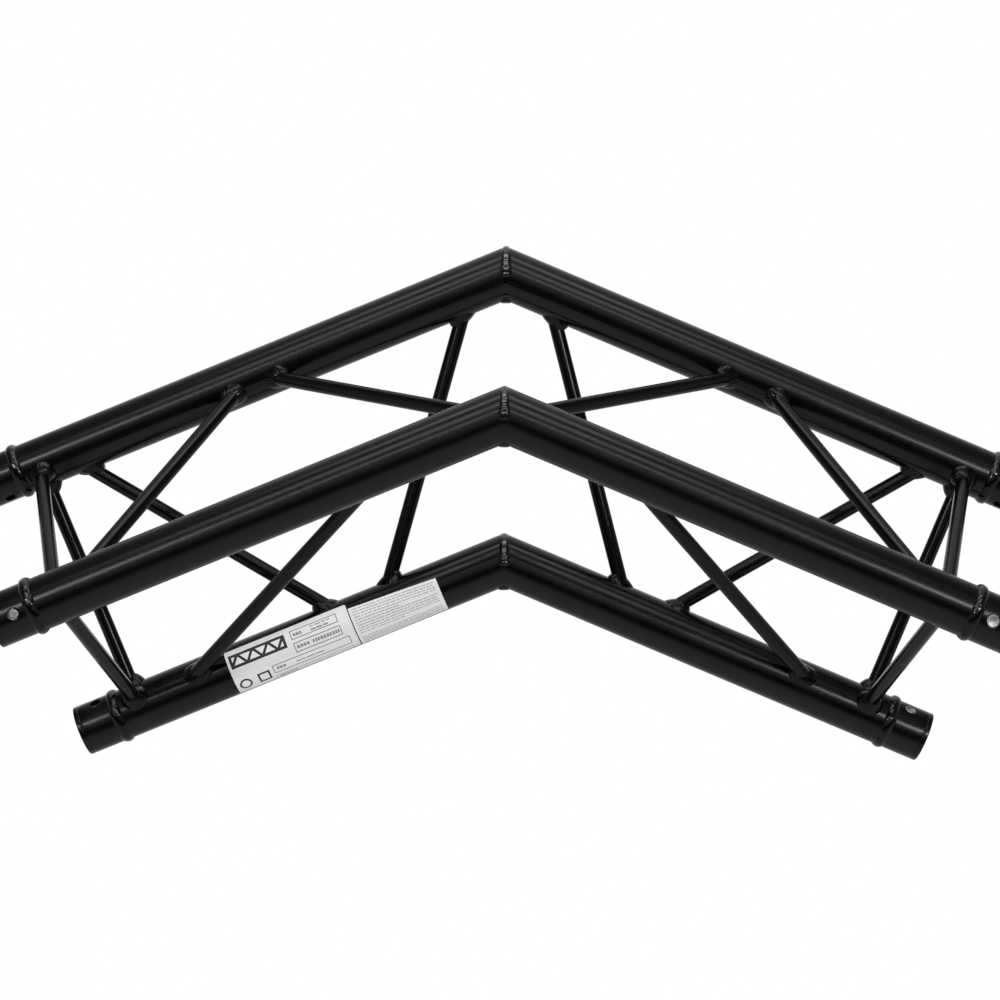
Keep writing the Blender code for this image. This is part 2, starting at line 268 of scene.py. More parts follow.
# ---------------------------------------------------------------- materials
def powder_coat(name, roughness, spread, peel, lump=0.0, shine=0.206, shine_below=None):
    """Black powder coat with orange peel, a finer grain and glossier patches.

    spread is how far the roughness strays. peel and lump are bump depths. shine_below is the
    specular level where the surface looks down.
    """
    net = material_net(name)
    at = net.object_place()
    patches = net.noise(at, scale=38.0, detail=3.0, rough=0.55)
    fine = net.noise(at, scale=420.0, rough=0.6)
    rough = net.math(
        "ADD",
        net.ramp(patches, span=(0.3, 0.7), to=(roughness - spread, roughness + spread)),
        net.ramp(fine, span=(0.3, 0.7), to=(-0.012, 0.012)),
    )
    tint = net.ramp(net.noise(at, scale=90.0, detail=3.0), span=(0.35, 0.7))
    colour = net.blend(tint, grey(0.0005), grey(0.0010, warm=0.02))
    # thin pale dust where the surface looks up
    upward = net.split(net.add("NewGeometry").outputs["Normal"])["Z"]
    dust = net.math(
        "MULTIPLY",
        net.ramp(upward, span=(0.45, 1.0)),
        net.ramp(
            net.noise(at, scale=55.0, detail=4.0, rough=0.65), span=(0.45, 0.8), to=(0.0, 0.006)
        ),
    )
    colour = net.blend(dust, colour, grey(0.22, warm=0.03))
    normal = net.bump(net.noise(at, scale=780.0, detail=1.5), depth=peel)
    normal = net.bump(net.noise(at, scale=3800.0, detail=1.0), depth=peel * 0.10, under=normal)
    if lump:
        lumps = net.noise(at, scale=300.0, detail=3.0, rough=0.55)
        normal = net.bump(lumps, depth=lump, under=normal)
    if shine_below is not None:
        shine = net.ramp(upward, span=(-0.20, 0.12), to=(shine_below, shine))
    return net.principled(
        Base_Color=colour, Roughness=rough, IOR=1.5, Specular_IOR_Level=shine, Normal=normal
    )


def turned_steel(name, shaded_end=False):
    """Bare turned steel: rings on the end faces, feed marks along the taper."""
    net = material_net(name)
    local = net.local()
    parts = net.split(local)
    squares = [net.math("POWER", parts[axis], 2.0) for axis in ("X", "Y")]
    from_axis = net.math("SQRT", net.math("ADD", *squares))
    wander = net.noise(local, scale=900.0)
    rings = net.grooves(from_axis, pitch=0.00042, wander=wander, sway=5.0)
    feed = net.grooves(parts["Z"], pitch=0.00035, wander=wander, sway=4.0)
    lengthwise = net.stretch(local, scale=(1.0, 1.0, 0.12))
    scratches = net.noise(lengthwise, scale=2600.0, detail=3.0, rough=0.7)
    blotch = net.noise(local, scale=420.0, detail=4.0, rough=0.6)
    tint = net.ramp(blotch, span=(0.35, 0.65))
    colour = net.blend(tint, grey(0.24, warm=0.012), grey(0.34, warm=0.006))
    rough = net.math(
        "ADD",
        net.ramp(blotch, span=(0.3, 0.7), to=(0.34, 0.44)),
        net.ramp(scratches, span=(0.4, 0.75), to=(0.0, 0.10)),
    )
    normal = net.bump(rings, depth=1.3e-6)
    normal = net.bump(feed, depth=1.0e-6, under=normal)
    dents = net.noise(local, scale=700.0, detail=3.0, rough=0.6)
    normal = net.bump(dents, depth=1.6e-5, under=normal)
    metallic = 1.0
    if shaded_end:
        # painted shade: the recessed narrow end is painted near black, with a ragged, patchy edge,
        # for the shade deep in its hole
        edge = net.noise(local, scale=500.0, detail=3.0, rough=0.6)
        edge = net.ramp(edge, span=(0.3, 0.7), to=(-0.0009, 0.0009))
        over = net.ramp(net.math("ADD", parts["Z"], edge), span=(-0.0120, -0.0128))
        thin = net.noise(local, scale=650.0, detail=3.0, rough=0.6)
        over = net.math("MULTIPLY", over, net.ramp(thin, span=(0.30, 0.42), to=(0.72, 1.0)))
        colour = net.blend(over, colour, grey(0.012))
        rough = net.math("ADD", rough, net.math("MULTIPLY", over, 0.12))
        metallic = net.math("SUBTRACT", 1.0, over)
    return net.principled(Base_Color=colour, Metallic=metallic, Roughness=rough, Normal=normal)


def machined_seat(name):
    """Turned aluminium of the conical seat, with black overspray fading in from the mouth."""
    net = material_net(name)
    local = net.local()
    depth = net.math("MULTIPLY", net.split(local)["Z"], -1.0)
    wander = net.noise(local, scale=160.0)
    rings = net.grooves(depth, pitch=0.00055, wander=wander, sway=3.0)
    edge = net.noise(local, scale=240.0, detail=5.0, rough=0.7)
    edge = net.ramp(edge, span=(0.25, 0.75), to=(-0.0022, 0.0022), kind="LINEAR")
    spray = net.ramp(net.math("ADD", depth, edge), span=(0.0008, 0.0058), to=(1.0, 0.0))
    blotch = net.noise(local, scale=130.0, detail=4.0, rough=0.6)
    tint = net.ramp(blotch, span=(0.35, 0.7))
    metal = net.blend(tint, grey(0.56, warm=-0.006), grey(0.70, warm=-0.004))
    colour = net.blend(spray, metal, grey(0.004))
    rough = net.math(
        "ADD",
        net.ramp(blotch, span=(0.3, 0.7), to=(0.27, 0.38)),
        net.math("MULTIPLY", spray, 0.16),
    )
    normal = net.bump(rings, depth=3.0e-6)
    grain = net.noise(local, scale=2200.0, rough=0.6)
    normal = net.bump(grain, depth=2.0e-6, under=normal)
    metallic = net.math("SUBTRACT", 1.0, spray)
    return net.principled(Base_Color=colour, Metallic=metallic, Roughness=rough, Normal=normal)


def mill_aluminium(name):
    """Dull extruded aluminium inside the tubes."""
    net = material_net(name)
    at = net.object_place()
    blotch = net.noise(at, scale=70.0, detail=4.0, rough=0.6)
    colour = net.blend(net.ramp(blotch, span=(0.35, 0.7)), grey(0.30), grey(0.42))
    normal = net.bump(net.noise(at, scale=900.0, detail=3.0, rough=0.6), depth=8.0e-6)
    rough = net.ramp(blotch, span=(0.3, 0.7), to=(0.45, 0.58))
    return net.principled(Base_Color=colour, Metallic=1.0, Roughness=rough, Normal=normal)


def label_film(name):
    """Silver-white film: faint mottle and streaks, and a soft sheen."""
    net = material_net(name)
    local = net.local()
    mottle = net.noise(local, scale=120.0, detail=4.0, rough=0.6)
    lengthwise = net.stretch(local, scale=(1.0, 1.0, 0.15))
    streak = net.noise(lengthwise, scale=260.0, detail=3.0, rough=0.6)
    cool, pale, dull = (0.755, 0.758, 0.765, 1.0), (0.80, 0.80, 0.80, 1.0), (0.70, 0.70, 0.705, 1.0)
    colour = net.blend(net.ramp(mottle, span=(0.3, 0.7)), cool, pale)
    colour = net.blend(net.ramp(streak, span=(0.35, 0.75), to=(0.0, 0.25)), colour, dull)
    rough = net.ramp(mottle, span=(0.3, 0.7), to=(0.34, 0.44))
    normal = net.bump(net.noise(local, scale=420.0, detail=3.0, rough=0.55), depth=6.0e-6)
    normal = net.bump(net.noise(local, scale=3200.0, detail=1.0), depth=5.0e-7, under=normal)
    return net.principled(
        Base_Color=colour, Metallic=0.12, Roughness=rough, IOR=1.5, Normal=normal
    )


def ink(name, dark, pale):
    """Print whose density wavers a little between two greys."""
    net = material_net(name)
    density = net.noise(net.object_place(), scale=1600.0, detail=3.0, rough=0.6)
    colour = net.blend(net.ramp(density, span=(0.4, 0.75)), grey(dark), grey(pale))
    return net.principled(
        Base_Color=colour,
        Roughness=net.ramp(density, span=(0.3, 0.7), to=(0.42, 0.55)),
        Specular_IOR_Level=0.4,
        Normal=net.bump(density, depth=2.0e-6),
    )


COAT = powder_coat("powder_coat_tube", roughness=0.215, spread=0.020, peel=2.4e-6)
COAT_BRACE = powder_coat(
    "powder_coat_brace", roughness=0.19, spread=0.020, peel=2.5e-6, shine=0.150
)
COAT_WELD = powder_coat(
    "powder_coat_weld", roughness=0.085, spread=0.012, peel=3.0e-6, lump=0.4e-5,
    shine=0.32, shine_below=0.185,
)
COAT_CORNER = powder_coat(
    "powder_coat_corner", roughness=0.070, spread=0.010, peel=2.0e-6, lump=0.5e-5,
    shine=0.58, shine_below=0.20,
)
COAT_FILLET = powder_coat(
    "powder_coat_fillet", roughness=0.175, spread=0.020, peel=4.0e-6, lump=0.6e-5, shine=0.165
)
STEEL = turned_steel("turned_steel")
# this steel paints the recessed narrow end near black, as painted shade
STEEL_SHADED_END = turned_steel("turned_steel_shaded_end", shaded_end=True)
SEAT = machined_seat("machined_seat")
MILL = mill_aluminium("mill_aluminium")
FILM = label_film("label_film")
INKS = [
    ink("print_black", dark=0.012, pale=0.022),
    ink("print_grey", dark=0.20, pale=0.30),
    ink("print_line", dark=0.035, pale=0.07),
    ink("print_pale", dark=0.36, pale=0.46),
]
BLACK, GREY, LINE, PALE = range(4)     # places in INKS


# ---------------------------------------------------------------- mesh helpers
def grid_faces(rows, cols, closed=True, first=0, dropped=()):
    """Quads of a grid whose columns close on themselves, and its rows too if closed."""
    faces = []
    for row in range(rows if closed else rows - 1):
        here, there = first + row * cols, first + (row + 1) % rows * cols
        for col in range(cols):
            after = (col + 1) % cols
            if (row, col) not in dropped:
                faces.append((here + col, here + after, there + after, there + col))
    return faces


def add_object(name, data):
    obj = bpy.data.objects.new(name, data)
    bpy.context.scene.collection.objects.link(obj)
    return obj


def piece(
    name, rows, faces, mats, node=None, look=None, local=None, sharp=35.0, slack=None,
    body="truss_frame",
):
    """A closed smooth piece in its place in the frame.

    rows are arrays of points and local their places in the piece's own frame. look is each
    face's material. slack is how far the piece may stray from the box of its CAD node.
    """
    points = np.concatenate(rows)
    mesh = bpy.data.meshes.new(name + "_mesh")
    mesh.from_pydata(points.tolist(), [], faces)
    if look is not None:
        mesh.polygons.foreach_set("material_index", np.asarray(look, np.int32))
    bm = bmesh.new()
    bm.from_mesh(mesh)
    bmesh.ops.recalc_face_normals(bm, faces=bm.faces)
    if bm.calc_volume(signed=True) < 0:
        bmesh.ops.reverse_faces(bm, faces=bm.faces)
    open_edges = sum(1 for e in bm.edges if not e.is_manifold)
    bm.to_mesh(mesh)
    bm.free()
    if open_edges:
        raise ValueError(f"{name} has {open_edges} open edges")
    mesh.shade_smooth()
    mesh.set_sharp_from_angle(angle=math.radians(sharp))
    for mat in mats:
        mesh.materials.append(mat)
    own = points if local is None else np.concatenate(local)
    layer = mesh.attributes.new("local", "FLOAT_VECTOR", "POINT")
    layer.data.foreach_set("vector", own.astype(np.float32).ravel())
    obj = add_object(name, mesh)
    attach(obj, body)
    if node:
        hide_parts(node)
    if slack is not None:
        low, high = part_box(node)
        off = max(np.abs(points.min(0) - low).max(), np.abs(points.max(0) - high).max())
        if off > slack:
            raise ValueError(f"{name} is {off / MM:.2f} mm off the box of {node}")


def tube(name, rows, coat, node, slack):
    """A coated tube, bare in its bore, which spans the last two rings."""
    sides = len(rows[0])
    look = np.repeat(np.arange(len(rows)) == len(rows) - 2, sides)
    faces = grid_faces(len(rows), sides)
    piece(name, rows, faces, [coat, MILL], node, look=look, slack=slack)


def wave(rng, laps, lowest, highest):
    """Smooth periodic noise over laps (0 to 1), about -1 to 1."""
    total = np.zeros_like(laps)
    weight = 0.0
    for k in range(lowest, highest + 1):
        size = (k / lowest) ** -0.8
        swing = size * rng.uniform(0.5, 1.0)
        total = total + swing * np.sin(2 * math.pi * (k * laps + rng.uniform()))
        weight += size * size * 0.3
    return total / math.sqrt(weight) / 1.4


def scallop(phase, edge=0.75):
    """Overlapping weld ripples, 0 to 1. The larger the edge, the wider the valleys."""
    return (0.5 - 0.5 * np.cos(2 * math.pi * phase)) ** (edge / 2)


def ripples(rng, laps, girth, pitch=3.0 * MM):
    """Phase of the ripples round a bead, which closes after one turn."""
    phase = max(6, int(round(girth / pitch))) * laps
    for k in range(1, 9):
        swing = rng.uniform(-0.34, 0.34) / math.sqrt(k)
        phase = phase + swing * np.sin(2 * math.pi * (k * laps + rng.uniform()))
    return phase


def smooth(share):
    """Eases a share from 0 to 1 and holds it there beyond."""
    share = np.clip(share, 0, 1)
    return share * share * (3 - 2 * share)


# ---------------------------------------------------------------- chord tubes
MITRE_GAP = 0.1 * MM
TUBE_END_GAP = 0.15 * MM
TUBE_BEVEL = 0.3 * MM


def chord_tube(chord, side_name):
    """Chord tube, cut at the mitre and bevelled at its far end."""
    angles = turns(TUBE_SIDES)
    bore = CHORD_R - CHORD_WALL
    far = LEG_LENGTH - SOCKET_EXPOSED - TUBE_END_GAP

    def ring(radius, station):
        return chord_ring(chord, SIDES[side_name], station, radius, angles)

    def mitre(radius):
        return (MITRE_GAP - (CHORDS[chord][0] + radius * np.cos(angles)) * SIN) / COS

    start, end = mitre(CHORD_R), far - TUBE_BEVEL
    shares = [k / TUBE_STEPS for k in range(TUBE_STEPS + 1)]
    rows = [ring(CHORD_R, start * (1 - share) + end * share) for share in shares]
    rows += [ring(CHORD_R - TUBE_BEVEL, far), ring(bore, far), ring(bore, mitre(bore))]
    node = f"{chord}_chord_{side_name}"
    tube(f"chord_tube_{chord}_{side_name}", rows, COAT, node, slack=0.6 * MM)


# ---------------------------------------------------------------- weld beads round the tubes
def bead_section():
    """Cosines and sines of the angles across a bead, closer together at its toes."""
    shares = [k / BEAD_STEPS for k in range(BEAD_STEPS + 1)]
    angles = [math.pi * (share - 0.06 * math.sin(2 * math.pi * share)) for share in shares]
    return [(math.cos(angle), math.sin(angle)) for angle in angles]


def bead(name, rows, mat, node, slack):
    faces = grid_faces(len(rows), BEAD_COLUMNS)
    piece(name, rows, faces, [mat], node, sharp=75.0, slack=slack)


def socket_bead(chord, side_name, seed):
    """Bead where a sleeve meets its chord tube. Its ripples fade on the lower half."""
    rng = np.random.RandomState(seed)
    side = SIDES[side_name]
    laps = np.arange(BEAD_COLUMNS) / BEAD_COLUMNS
    angles = 2 * math.pi * laps
    phase = ripples(rng, laps, BEAD_GIRTH)
    upper = np.clip(0.30 + 1.1 * np.cos(angles), 0.06, 1.0)
    height = 0.97 + (0.035 + 0.065 * upper) * wave(rng, laps, 2, 8)
    breadth = 0.80 + 0.05 * upper * wave(rng, laps, 2, 9) + 0.05 * (1 - upper)
    drift = 0.35 * MM * wave(rng, laps, 1, 5)
    strength = np.clip(0.6 + 0.45 * wave(rng, laps, 2, 7), 0.1, 1.2) * upper
    start = rng.uniform()
    crater_reach = 4 * MM
    gap = np.abs((laps - start + 0.5) % 1.0 - 0.5) * 2 * math.pi * CHORD_R / crater_reach
    crater = np.exp(-gap * gap)
    # a smooth, nearly flat drop of metal on the front, above the tube's middle
    drop_up, drop_width = (0.215, 0.17) if side < 0 else (0.175, 0.09)
    drop_angle = 2 * math.pi - math.acos(drop_up)
    turned = (angles - drop_angle + math.pi) % (2 * math.pi) - math.pi
    drop = np.exp(-(turned / drop_width) ** 4)
    strength = strength * (1 - drop)
    height = height * (1 - drop) + drop
    height = height * (1 + 0.14 * crater * (1 - drop))
    breadth = breadth + 0.12 * drop

    def ring(off, radius):
        return chord_ring(chord, side, LEG_LENGTH - SOCKET_EXPOSED + off, radius, angles)

    rows = []
    for aside, rise in bead_section():
        crest = rise ** (1.25 + 0.55 * (1 - upper)) * (0.84 + 0.16 * upper)
        ripple = scallop(phase + 0.42 * aside * aside + 0.10 * aside, edge=1.5)
        proud = SOCKET_BEAD_PROUD * crest * (0.93 + 0.075 * strength * (ripple - 0.6))
        radius = (CHORD_R + proud * height) * (1 + 0.45 * turned * turned * drop * crest)
        off = SOCKET_BEAD_HALF * aside * breadth * (0.985 + 0.03 * strength * ripple)
        rows.append(ring(off + drift * crest, radius))
    for share in (-0.76, 0.76):            # the hidden root, inside the wall
        rows.append(ring(share * SOCKET_BEAD_HALF, CHORD_R - 0.25 * MM))
    name, node = f"bead_socket_{chord}_{side_name}", f"socket_weld_{chord}_{side_name}"
    bead(name, rows, COAT_WELD, node, slack=1.6 * MM)


# How much lower each corner bead lies over the fold.
CORNER_FLUSH = {"outer": 0.45 * MM, "front": 1.05 * MM, "inner": 0.80 * MM}


def corner_bead(chord, seed):
    """Bead over the mitre. Its crest is rounded where the two tubes fold."""
    rng = np.random.RandomState(seed)
    up, y = CHORDS[chord]
    laps = np.arange(BEAD_COLUMNS) / BEAD_COLUMNS
    angles = 2 * math.pi * laps
    cosine, sine = np.cos(angles), np.sin(angles)
    phase = ripples(rng, laps, BEAD_GIRTH)
    height = 1 + 0.09 * wave(rng, laps, 2, 8)
    drift = 0.3 * MM * wave(rng, laps, 1, 5)
    outside = 0.5 + 0.5 * cosine
    upper = smooth((cosine + 0.18) / 0.15)      # full over the fold, a hairline down the sides
    under = smooth((-cosine - 0.88) / 0.10)     # and full again in the crook
    blob = np.exp(-((cosine - 0.14) / 0.17) ** 2)      # thicker on the front and the rear
    full = np.maximum(upper, under)
    strength = (0.5 + 0.3 * wave(rng, laps, 2, 7) + 2.1 * blob).clip(0.15, 3.0) * upper
    half = CORNER_BEAD_HALF * (0.40 + 0.60 * full)
    half = half * (1 + 0.05 * wave(rng, laps, 2, 9) + 0.12 * blob)
    half = half - 1.2 * MM * outside ** 2 * full
    fold = (0.7 + 1.9 * full) * MM              # how far the crest is rounded
    toe = np.hypot(half, fold) - half
    proud = CORNER_BEAD_PROUD * (0.12 + 0.70 * upper + 0.25 * blob + 0.68 * under)
    proud = proud - CORNER_FLUSH[chord] * outside ** 3

    def ring(off, radius):
        fall = (np.sqrt(off * off + fold * fold) - toe) * math.tan(LEG_FALL)
        z = (up + radius * cosine) / COS - fall
        return np.stack([off, y + radius * sine, z], axis=-1) - ORIGIN

    rows = []
    for aside, rise in bead_section():
        crest = rise ** 1.55
        ripple = scallop(phase + 0.45 * aside * aside - 0.12 * aside, edge=1.5)
        radius = CHORD_R + proud * crest * (0.95 + 0.13 * strength * (ripple - 0.6)) * height
        off = half * aside * (0.985 + 0.03 * strength * ripple) + drift * full * crest
        rows.append(ring(off, radius))
    for share in (-0.88, 0.88):            # the hidden root, inside the wall
        rows.append(ring(share * half, CHORD_R - 0.3 * MM))
    node = f"corner_weld_{chord}"
    bead(f"bead_corner_{chord}", rows, COAT_CORNER, node, slack=2.4 * MM)


# ---------------------------------------------------------------- sockets
# The pin hole is opened through two square windows in the sleeve's grid, on opposite sides.
WINDOW_HALF = 8.0 * MM
WINDOW_CELLS = 12
CELLS_BETWEEN = 28                      # columns from one window to the next
WINDOW_TURN = WINDOW_HALF / CHORD_R     # half its angle
HOLE_RIM, HOLE_RIM_INSIDE = 0.40 * MM, 0.22 * MM
FIRST_BARE_BAND = 10                    # bands of the hole from here inwards are bare

# The window's edge, cell by cell: (row, column), its turn and its depth from the mouth.
WALK = [(0, k) for k in range(WINDOW_CELLS)]
WALK += [(k, WINDOW_CELLS) for k in range(WINDOW_CELLS)]
WALK += [(WINDOW_CELLS, WINDOW_CELLS - k) for k in range(WINDOW_CELLS)]
WALK += [(WINDOW_CELLS - k, 0) for k in range(WINDOW_CELLS)]
EDGE_TURN = np.array([WINDOW_TURN * (2 * col / WINDOW_CELLS - 1) for _, col in WALK])
EDGE_DEPTH = np.array(
    [PIN_FROM_MOUTH - WINDOW_HALF + 2 * WINDOW_HALF * row / WINDOW_CELLS for row, _ in WALK]
)
EDGE_ANGLE = np.arctan2(EDGE_DEPTH - PIN_FROM_MOUTH, EDGE_TURN * CHORD_R)


def pin_axis(chord, side_name):
    """Centre of a pin on its chord's axis, and the direction towards its wide end."""
    side = SIDES[side_name]
    up, y = CHORDS[chord]
    inward = unit(across(side) * -up + REAR * -y)
    way = -inward if chord == "front" else inward
    if side < 0 or chord == "outer":
        way = -way
    return on_chord(chord, side, LEG_LENGTH - PIN_FROM_MOUTH), way


def seat_radius(depth):
    share = (depth - SOCKET_LEAD_IN) / (SOCKET_SEAT_DEPTH - SOCKET_LEAD_IN)
    return SOCKET_MOUTH_R + (SOCKET_SEAT_R - SOCKET_MOUTH_R) * share


def outer_radius(depth):
    return CHORD_R


def hole_rings(sign):
    """Rings (turn, depth, radius) from the outer window through the hole to the seat's window.

    sign is 1 on the hole's wide side and -1 on its narrow side.
    """
    middle = (HOLE_WIDE_R + HOLE_NARROW_R) / 2
    slope = sign * (HOLE_WIDE_R - HOLE_NARROW_R) / (2 * CHORD_R)
    outer = middle + slope * (CHORD_R - 0.5 * MM)
    inner = middle + slope * (seat_radius(PIN_FROM_MOUTH) + 0.2 * MM)

    def ring(hole, surface, lift=0.0, share=0.0):
        """A circle square to the hole on a surface, moved a share of the way to the window."""
        depth = PIN_FROM_MOUTH + hole * np.sin(EDGE_ANGLE)
        turn = np.arcsin(hole * np.cos(EDGE_ANGLE) / surface(depth))
        depth = depth + (EDGE_DEPTH - depth) * share
        return turn + (EDGE_TURN - turn) * share, depth, surface(depth) + lift

    def rounding(hole, surface, rim, degrees):
        angle = math.radians(degrees)
        lift = abs(rim) * (1 - math.cos(angle)) * (-1 if surface is outer_radius else 1)
        return ring(hole + rim * (1 - math.sin(angle)), surface, lift=lift)

    shares = (0.62, 0.34, 0.16, 0.06, 0.0)
    rings = [ring(outer + HOLE_RIM, outer_radius, share=share) for share in shares]
    rings += [rounding(outer, outer_radius, HOLE_RIM, degrees) for degrees in (30, 60, 90)]
    rings += [rounding(inner, seat_radius, HOLE_RIM_INSIDE, degrees) for degrees in (90, 45, 0)]
    shares = (0.12, 0.34, 0.64)
    return rings + [ring(inner + HOLE_RIM_INSIDE, seat_radius, share=share) for share in shares]


def sleeve_profile():
    """Outline of the sleeve as (depth, radius), in three lists, and its window rows.

    The lists are the coated outside, the bare inside and the coated lip of the mouth.
    """
    outside = []
    for k in range(6):
        angle = math.radians(90 - 18 * k)
        outside.append((
            SOCKET_RIM - SOCKET_RIM * math.sin(angle),
            CHORD_R - SOCKET_RIM + SOCKET_RIM * math.cos(angle),
        ))
    half = GROOVE_WIDTH / 2
    centre = GROOVE_AT + half
    outside.append((centre - half - 0.15 * MM, CHORD_R))
    for k in range(7):
        angle = math.pi * k / 6
        dip = GROOVE_DEPTH * math.sin(angle) ** 0.8 if 0 < k < 6 else 0.03 * MM
        outside.append((centre - half * math.cos(angle), CHORD_R - dip))
    outside.append((centre + half + 0.15 * MM, CHORD_R))
    first_out = len(outside)
    window = [
        PIN_FROM_MOUTH - WINDOW_HALF + 2 * WINDOW_HALF * k / WINDOW_CELLS
        for k in range(WINDOW_CELLS + 1)
    ]
    outside += [(depth, CHORD_R) for depth in window]
    outside += [
        (SOCKET_EXPOSED - 0.3 * MM, CHORD_R),
        (SOCKET_EXPOSED - 0.1 * MM, CHORD_R - 0.25 * MM),
    ]
    neck_end = SOCKET_EXPOSED + SOCKET_NECK
    inside = [
        (SOCKET_EXPOSED - 0.1 * MM, SOCKET_NECK_R),
        (neck_end - 0.8 * MM, SOCKET_NECK_R),
        (neck_end, SOCKET_NECK_R - 0.6 * MM),
        (neck_end, SOCKET_NECK_BORE_R),
        (SOCKET_SEAT_DEPTH + 0.4 * MM, SOCKET_NECK_BORE_R),
        (SOCKET_SEAT_DEPTH, SOCKET_SEAT_R),
    ]
    first_in = len(outside) + len(inside)
    inside += [(depth, seat_radius(depth)) for depth in reversed(window)]
    inside.append((3.0 * MM, seat_radius(3.0 * MM)))
    lip = [
        (SOCKET_LEAD_IN + 0.1 * MM, SOCKET_MOUTH_R),
        (SOCKET_LEAD_IN * 0.45, SOCKET_MOUTH_R + SOCKET_LEAD_IN * 0.25),
        (SOCKET_LEAD_IN * 0.1, SOCKET_MOUTH_R + SOCKET_LEAD_IN * 0.62),
        (0.0, SOCKET_MOUTH_R + SOCKET_LEAD_IN),
    ]
    return outside, inside, lip, first_out, first_in


def socket_sleeve(chord, side_name):
    """Turned sleeve as one closed skin, with the taper-pin hole opened through both walls."""
    side = SIDES[side_name]
    way = pin_axis(chord, side_name)[1]
    zero = math.atan2(float(way @ REAR), float(way @ across(side)))
    cols = []
    for centre in (0.0, math.pi):
        start, end = centre - WINDOW_TURN, centre + WINDOW_TURN
        cols += [start + 2 * WINDOW_TURN * k / WINDOW_CELLS for k in range(WINDOW_CELLS)]
        rest = math.pi - 2 * WINDOW_TURN
        cols += [end + rest * k / CELLS_BETWEEN for k in range(CELLS_BETWEEN)]
    cols = np.array(cols)
    count = len(cols)
    points, local = [], []

    def add_ring(turn, depth, radius):
        points.append(chord_ring(chord, side, LEG_LENGTH - depth, radius, zero + turn))
        turn, depth, radius = np.broadcast_arrays(turn, depth, radius)
        own = [radius * np.cos(turn), radius * np.sin(turn), -depth]
        local.append(np.stack(own, axis=-1))

    outside, inside, lip, first_out, first_in = sleeve_profile()
    profile = outside + inside + lip
    for depth, radius in profile:
        add_ring(cols, depth, radius)
    rows = len(profile)
    second_window = WINDOW_CELLS + CELLS_BETWEEN
    dropped = {
        (first + row, window + col)
        for first in (first_out, first_in)
        for window in (0, second_window)
        for row in range(WINDOW_CELLS)
        for col in range(WINDOW_CELLS)
    }
    faces = grid_faces(rows, count, dropped=dropped)
    bare = range(len(outside), len(outside) + len(inside) - 1)
    look = [
        row in bare for row in range(rows) for col in range(count) if (row, col) not in dropped
    ]

    total = rows * count
    for window, centre, sign in ((0, 0.0, 1.0), (second_window, math.pi, -1.0)):
        chain = [[(first_out + row) * count + window + col for row, col in WALK]]
        for turn, depth, radius in hole_rings(sign):
            add_ring(centre + turn, depth, radius)
            chain.append(list(range(total, total + len(WALK))))
            total += len(WALK)
        last = first_in + WINDOW_CELLS
        chain.append([(last - row) * count + window + col for row, col in WALK])
        for band, (one, two) in enumerate(zip(chain, chain[1:])):
            for k in range(len(WALK)):
                after = (k + 1) % len(WALK)
                faces.append((one[k], one[after], two[after], two[k]))
                look.append(band >= FIRST_BARE_BAND)
    piece(
        f"socket_sleeve_{chord}_{side_name}", points, faces, [COAT, SEAT],
        f"socket_{chord}_{side_name}", look=look, local=local, sharp=38.0, slack=0.6 * MM,
    )


# ---------------------------------------------------------------- pins
def pin_profile(low, high):
    """Outline of a pin as (radius, height): blunt narrow end, taper, centre-drilled wide end."""
    narrow, wide = PIN_NARROW_R - PIN_EDGE, PIN_WIDE_R - PIN_EDGE
    quarter = [math.radians(22.5 * k) for k in range(5)]
    profile = [
        (0.0, low + 0.35 * MM),
        (0.55 * MM, low + 0.25 * MM),
        (0.75 * MM, low + 0.02 * MM),
        (1.0 * MM, low),
        (narrow - 0.2 * MM, low),
    ]
    for angle in quarter:
        height = low + PIN_EDGE - PIN_EDGE * math.cos(angle)
        profile.append((narrow + PIN_EDGE * math.sin(angle), height))
    for k in range(1, 4):
        height = low + PIN_EDGE + (high - low - 2 * PIN_EDGE) * k / 4
        profile.append((PIN_NARROW_R + (PIN_WIDE_R - PIN_NARROW_R) * k / 4, height))
    for angle in quarter:
        height = high - PIN_EDGE + PIN_EDGE * math.sin(angle)
        profile.append((wide + PIN_EDGE * math.cos(angle), height))
    return profile + [
        (wide - 0.25 * MM, high - 0.01 * MM),
        (wide - 0.45 * MM, high - 0.10 * MM),
        (1.35 * MM, high - 0.10 * MM),
        (1.2 * MM, high - 0.14 * MM),
        (0.5 * MM, high - 0.62 * MM),
        (0.0, high - 0.7 * MM),
    ]


def taper_pin(chord, side_name, seed):
    rng = np.random.RandomState(seed)
    centre, way = pin_axis(chord, side_name)
    first = unit(np.cross(way, along(SIDES[side_name])))
    second = np.cross(way, first)
    angles = turns(PIN_SIDES)
    profile = pin_profile(-PIN_NARROW_END[chord], PIN_WIDE_END)
    points, local = [], []
    for radius, height in profile:
        wobble = 1 + 0.004 * rng.uniform(-1, 1)
        ring = angles if radius else angles[:1]
        if radius < PIN_NARROW_R - PIN_EDGE:
            radius *= wobble
        points.append(centre + way * height + spokes(radius, ring, first, second))
        flat = [radius * np.cos(ring), radius * np.sin(ring)]
        local.append(np.stack([*flat, np.full(len(ring), height)], axis=-1))
    rows = len(profile) - 2
    faces = grid_faces(rows, PIN_SIDES, closed=False, first=1)
    last = 1 + rows * PIN_SIDES
    top = last - PIN_SIDES
    for k in range(PIN_SIDES):
        after = (k + 1) % PIN_SIDES
        faces.append((0, 1 + after, 1 + k))
        faces.append((last, top + k, top + after))
    node = f"pin_{chord}_{side_name}"
    # the rear pins get painted shade on their recessed narrow ends
    mat = STEEL if chord == "front" else STEEL_SHADED_END
    piece(
        f"taper_{node}", points, faces, [mat], node, local=local, sharp=28.0,
        slack=0.4 * MM, body=NODE_BODY[node],
    )


